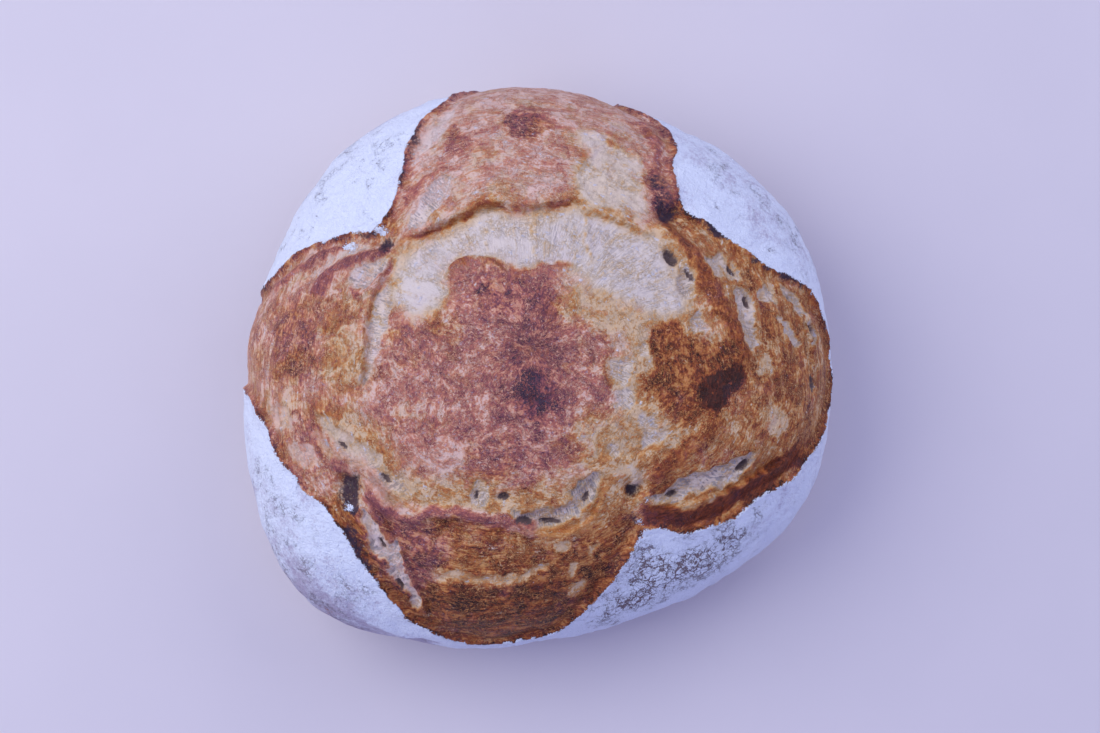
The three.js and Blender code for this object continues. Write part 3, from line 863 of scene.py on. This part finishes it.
# Noises in the crust: the place each one follows, its size (more is finer), detail and roughness
crustNoises = {
    "marble": ("swirled", 170.0, 5.0, 0.62),
    "mottle": ("swirled", 420.0, 4.0, 0.62),
    "fine": ("place", 900.0, 3.0, 0.62),
    "crumbs": ("place", 2400.0, 2.0, 0.6),
    "streak": ("roundGrain", 0.55, 4.0, 0.62),
    "threads": ("outGrain", 0.9, 3.0, 0.6),
    "roundFibres": ("roundGrain", 2.1, 2.0, 0.6),
    "outFibres": ("outGrain", 2.2, 2.0, 0.6),
    "blush": ("swirled", 110.0, 4.0, 0.6),
    "creases": ("swirled", 190.0, 3.0, 0.6),
    "strands": ("outGrain", 1.2, 2.0, 0.55),
    "thin": ("place", 60.0, 3.0, 0.6),
    "stain": ("swirled", 150.0, 5.0, 0.66),
    "specks": ("place", 2600.0, 2.0, 0.7),
    "crackPatches": ("place", 130.0, 4.0, 0.65),
    "gouges": ("outGrain", 1.5, 3.0, 0.6),
}
# Webs of thin lines: the place they follow, their size and half-width
crustWebs = [("swirled", 250.0, 0.016), ("swirled", 520.0, 0.026), ("roundGrain", 1.3, 0.026)]
flourCracks = [(260.0, 0.080), (560.0, 0.065)]  # size, and how wide they open


def highest(t, values):
    total = values[0]
    for value in values[1:]:
        total = t.math("MAXIMUM", total, value)
    return total


# How far each place has baked, from its paint (a) and the noises (n)
def bakedAmount(t, places, a, n):
    # streaks run round the loaf on baked crust, and across the tears on torn crumb
    grain = t.stray(0.0, (n.marble, 1.7), (n.streak, 1.3), (n.mottle, 0.9))
    pulled = t.stray(0.0, (n.marble, 0.9), (n.threads, 0.6))
    grain = t.stray(t.mix(a.torn, grain, pulled), (n.fine, 0.55), (n.crumbs, 0.15))
    grain = t.stray(grain, (n.fibres, t.mix(a.torn, 0.9, 0.4)))
    grain = t.times(grain, t.fade(a.calm, 0.0, 1.0, (1.0, 0.35)))
    grain = t.math("MINIMUM", grain, t.times(grain, 0.6))  # paler by more than darker
    grain = t.math("MAXIMUM", grain, crustLook["darkest"])
    baked = t.math("MAXIMUM", t.math("ADD", a.bake, grain), t.math("MINIMUM", a.bake, 0.17))

    # creases darkened partly as the crust's own colour and partly with painted shade, thin golden threads
    # everywhere, and pale flecks on the baked crust
    creaseShade = t.ridge(n.creases, 0.035, 0.46)
    creaseShade = t.times(creaseShade, t.fade(n.streak, 0.60, 0.42), t.fade(a.torn, 0.6, 0.0))
    baked = t.math("ADD", baked, t.times(creaseShade, 0.12))
    webs = [t.ridge(t.noise(places[where], size, 2.0, 0.5), width) for where, size, width in crustWebs]
    web = highest(t, webs)
    web = t.times(web, t.fade(n.marble, 0.36, 0.56), t.fade(a.calm, 0.3, 1.0, (1.0, 0.3)))
    webBake = t.fade(a.gas, 0.0, 0.5, (0.15, 0.30))  # golden where it crosses a pocket
    baked = t.mix(t.times(web, 0.75), t.math("ADD", baked, 0.05), webBake)
    cells = {"Vector": places["roundGrain"], "Scale": 0.75, "Randomness": 1.0}
    fleck = t.stray(t.add("ShaderNodeTexVoronoi", cells).outputs["Distance"], (n.fine, 0.7))
    fleck = t.times(t.fade(fleck, 0.32, 0.14), t.fade(n.mottle, 0.50, 0.62))
    baked = t.math("SUBTRACT", baked, t.times(fleck, 0.30))
    # a scorched rim just inside the flour
    rim = t.times(t.fade(n.border, -1.3, -0.1), t.fade(n.marble, 0.40, 0.60, (0.0, 0.26)))
    return t.math("ADD", baked, rim, clamp=True), creaseShade, web, fleck


def crumbColour(t, a, n, baked):
    # rosy tone: partly the crust's own, partly a painted sheen of reflected sky
    rosy = t.fade(t.stray(a.rosy, (n.blush, 2.2), (n.mottle, 0.6)), 0.0, 1.0)
    colour = t.blend(rosy, t.ramp(baked, crustLook["amber"]), t.ramp(baked, crustLook["rosy"]))
    # painted highlights: pale glints painted over the baked crust, most where it is rosy
    paintedGlint = t.fade(t.stray(n.fine, (n.crumbs, 0.5)), 0.57, 0.74)
    paintedGlint = t.times(paintedGlint, t.fade(baked, 0.22, 0.45), t.fade(baked, 0.85, 0.60))
    colour = t.blend(t.times(paintedGlint, t.fade(rosy, 0.0, 1.0, (0.10, 0.50))), colour, crustLook["paintedGlint"])
    # pale strands stay standing over the grey floor of a gas pocket
    strands = t.math("ABSOLUTE", t.math("SUBTRACT", n.strands, 0.5))
    gas = t.times(a.gas, t.fade(baked, 0.26, 0.12), t.fade(t.stray(strands, (n.fine, 0.10)), 0.03, 0.11))
    gas = t.times(gas, t.fade(t.stray(n.mottle, (n.fibres, 0.5)), 0.68, 0.47))
    # painted shade: the pocket floor turns darker in patches
    pocketShadeMask = t.fade(t.stray(n.marble, (n.threads, 0.8)), 0.56, 0.40)
    colour = t.blend(gas, colour, t.blend(pocketShadeMask, crustLook["gas"], crustLook["paintedPocketShade"]))
    # painted shade darkens the insides of the holes
    hole = t.fade(t.stray(a.hole, (n.fine, 1.3)), 0.35, 0.95)
    colour = t.blend(hole, colour, crustLook["hole"])
    charred = t.fade(t.stray(a.char, (n.fine, 1.0), (n.mottle, 0.9), (n.crumbs, 0.6)), 0.30, 0.90)
    return t.blend(t.times(charred, 0.92), colour, crustLook["char"])


# Thick white flour with thin grey places, and cracks down to the brown skin
def flourColour(t, places, a, n):
    whiteness = t.stray(a.flour, (n.thin, 0.9), (n.stain, 1.3), (n.fine, 0.8), (n.specks, 0.6))
    crackHere = t.stray(a.crackle, (n.crackPatches, 3.2))
    cracks = []
    for size, width in flourCracks:
        cells = {"Vector": places["bent"], "Scale": size}
        away = t.add("ShaderNodeTexVoronoi", cells, feature="DISTANCE_TO_EDGE").outputs[0]
        opened = t.fade(crackHere, 0.30, 1.5, (0.0, width))
        cracks.append(t.fade(t.math("SUBTRACT", away, opened), 0.0, -0.025))
    gouges = t.fade(t.stray(n.gouges, (n.fine, 0.35)), 0.60, 0.68)
    cracks.append(t.times(gouges, t.fade(crackHere, 0.7, 1.5)))
    cracked = t.times(highest(t, cracks), t.fade(a.crackle, 0.5, 1.1, (0.50, 0.92)))
    bareSkin = t.ramp(t.stray(0.55, (n.mottle, 0.9)), crustLook["amber"])
    colour = t.blend(t.fade(whiteness, 0.98, 0.22), crustLook["flour"], crustLook["thinFlour"])
    colour = t.blend(t.fade(whiteness, 0.20, -0.10), colour, bareSkin)
    colour = t.blend(cracked, colour, crustLook["underFlour"])
    under = t.times(a.under, t.fade(n.thin, 0.62, 0.40, (0.25, 0.95)))
    return t.blend(under, colour, bareSkin), cracked


def makeCrust():
    material = bpy.data.materials.new("bakedCrust")
    t = Tree(material)
    place = t.add("ShaderNodeTexCoord").outputs["Object"]
    places = {
        "place": place,
        "swirled": t.curled(place, 130.0, 3.0, 0.6, 0.016),
        "bent": t.curled(place, 260.0, 4.0, 0.7, 0.006),
        "roundGrain": t.attribute("roundGrain", "Vector"),
        "outGrain": t.attribute("outGrain", "Vector"),
    }
    a = SimpleNamespace(**{name: t.attribute(name) for name in crustPaint})
    n = {name: t.noise(places[where], *shape) for name, (where, *shape) in crustNoises.items()}
    n = SimpleNamespace(**n)
    n.fibres = t.mix(a.torn, n.roundFibres, n.outFibres)
    n.border = t.stray(a.skin, (n.mottle, 2.6))  # mm onto the skin, made ragged

    baked, creaseShade, web, fleck = bakedAmount(t, places, a, n)
    flour, cracked = flourColour(t, places, a, n)
    floured = t.fade(t.stray(n.border, (n.fine, 1.6), (n.crumbs, 1.4)), -0.12, 0.22)
    dusty = t.fade(t.stray(a.dust, (n.fine, 1.8), (n.crumbs, 1.8)), 0.58, 0.78)
    white = t.math("MAXIMUM", floured, dusty)
    colour = t.blend(white, crumbColour(t, a, n, baked), flour)

    # dry flour, satin crust
    crustRough = t.stray(t.fade(baked, 0.1, 0.8, crustLook["roughness"]), (n.fine, 0.3))
    rough = t.mix(white, crustRough, crustLook["flourRoughness"])

    bakedHeight = t.weigh((n.streak, 0.5), (n.mottle, 0.5), (n.marble, 0.8), (creaseShade, -0.3))
    height = t.mix(a.torn, bakedHeight, t.times(n.threads, 1.1))
    fineHeight = t.weigh((n.fibres, 0.45), (n.fine, 0.35), (fleck, 0.3), (web, 0.3))
    height = t.math("ADD", height, fineHeight)
    flourHeight = t.weigh((n.specks, 0.5), (n.fine, 0.8), (n.mottle, 1.6), (cracked, -1.2))
    height = t.mix(white, height, t.math("ADD", flourHeight, 0.5))
    bump = {"Height": height, "Strength": crustLook["bump"], "Distance": crustLook["bumpDepth"]}
    bump = t.add("ShaderNodeBump", bump).outputs[0]

    shader = t.add("ShaderNodeBsdfPrincipled", {"Base Color": colour, "Roughness": rough, "Normal": bump})
    shader.inputs["Specular IOR Level"].default_value = crustLook["gloss"]
    shader.inputs["IOR"].default_value = 1.45
    t.add("ShaderNodeOutputMaterial", {"Surface": shader.outputs[0]})
    return material


mesh.materials.append(makeCrust())
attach(loaf, "root")
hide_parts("loaf")
print("crust: done")

studio = {
    "floorColour": (0.72, 0.63, 0.61, 1),
    "cameraAim": (5.0, 0.0, 32.0),
    "cameraAway": 790.0,
    "cameraElevation": 84.0,
    "lens": 80.8,
    "keyPlace": (-790, 200, 920),
    "lampSize": 1300,
    "keyPower": 10.2,
    "fillPlace": (780, 560, 760),
    "fillPower": 4.4,
    "lampColour": (0.92, 0.98, 1.0),
    "skyColour": (0.40, 0.46, 1.0, 1),
    "skyStrength": 0.76,
}

bm = bmesh.new()
bmesh.ops.create_grid(bm, x_segments=1, y_segments=1, size=3.0)
floorMesh = bpy.data.meshes.new("floor")
bm.to_mesh(floorMesh)
bm.free()
floor = bpy.data.objects.new("floor", floorMesh)
bpy.context.scene.collection.objects.link(floor)
floorPaint = bpy.data.materials.new("palePaint")
t = Tree(floorPaint)
speckle = t.noise(t.add("ShaderNodeTexCoord").outputs["Object"], 14, 3.0)
paintColour = t.blend(t.fade(speckle, 0.35, 0.65, (0.0, 0.06)), studio["floorColour"], (0.5, 0.46, 0.46, 1))
shader = t.add("ShaderNodeBsdfPrincipled", {"Base Color": paintColour})
shader.inputs["Roughness"].default_value = 0.8
t.add("ShaderNodeOutputMaterial", {"Surface": shader.outputs[0]})
floorMesh.materials.append(floorPaint)

world = bpy.data.worlds.new("sky")
world.use_nodes = True
background = world.node_tree.nodes["Background"]
background.inputs["Color"].default_value = studio["skyColour"]
background.inputs["Strength"].default_value = studio["skyStrength"]
bpy.context.scene.world = world

for name in ("key", "fill"):
    lampData = bpy.data.lights.new(name, "AREA")
    lampData.shape = "DISK"
    lampData.size = studio["lampSize"] * mm
    lampData.energy = studio[name + "Power"]
    lampData.color = studio["lampColour"]
    lamp = bpy.data.objects.new(name, lampData)
    lamp.location = Vector(studio[name + "Place"]) * mm
    lamp.rotation_euler = (-lamp.location).to_track_quat("-Z", "Y").to_euler()
    bpy.context.scene.collection.objects.link(lamp)

aim = (Vector(studio["cameraAim"]) - Vector(middle)) * mm
tilt = math.radians(studio["cameraElevation"])
cameraData = bpy.data.cameras.new("camera")
cameraData.lens = studio["lens"]
cameraData.sensor_width = 36
cameraData.clip_start = 0.05
camera = bpy.data.objects.new("camera", cameraData)
camera.location = aim + Vector((0, -math.cos(tilt), math.sin(tilt))) * studio["cameraAway"] * mm
camera.rotation_euler = (math.pi / 2 - tilt, 0, 0)
bpy.context.scene.collection.objects.link(camera)
bpy.context.scene.camera = camera
bpy.context.scene.view_settings.view_transform = "Standard"
print("studio: done")
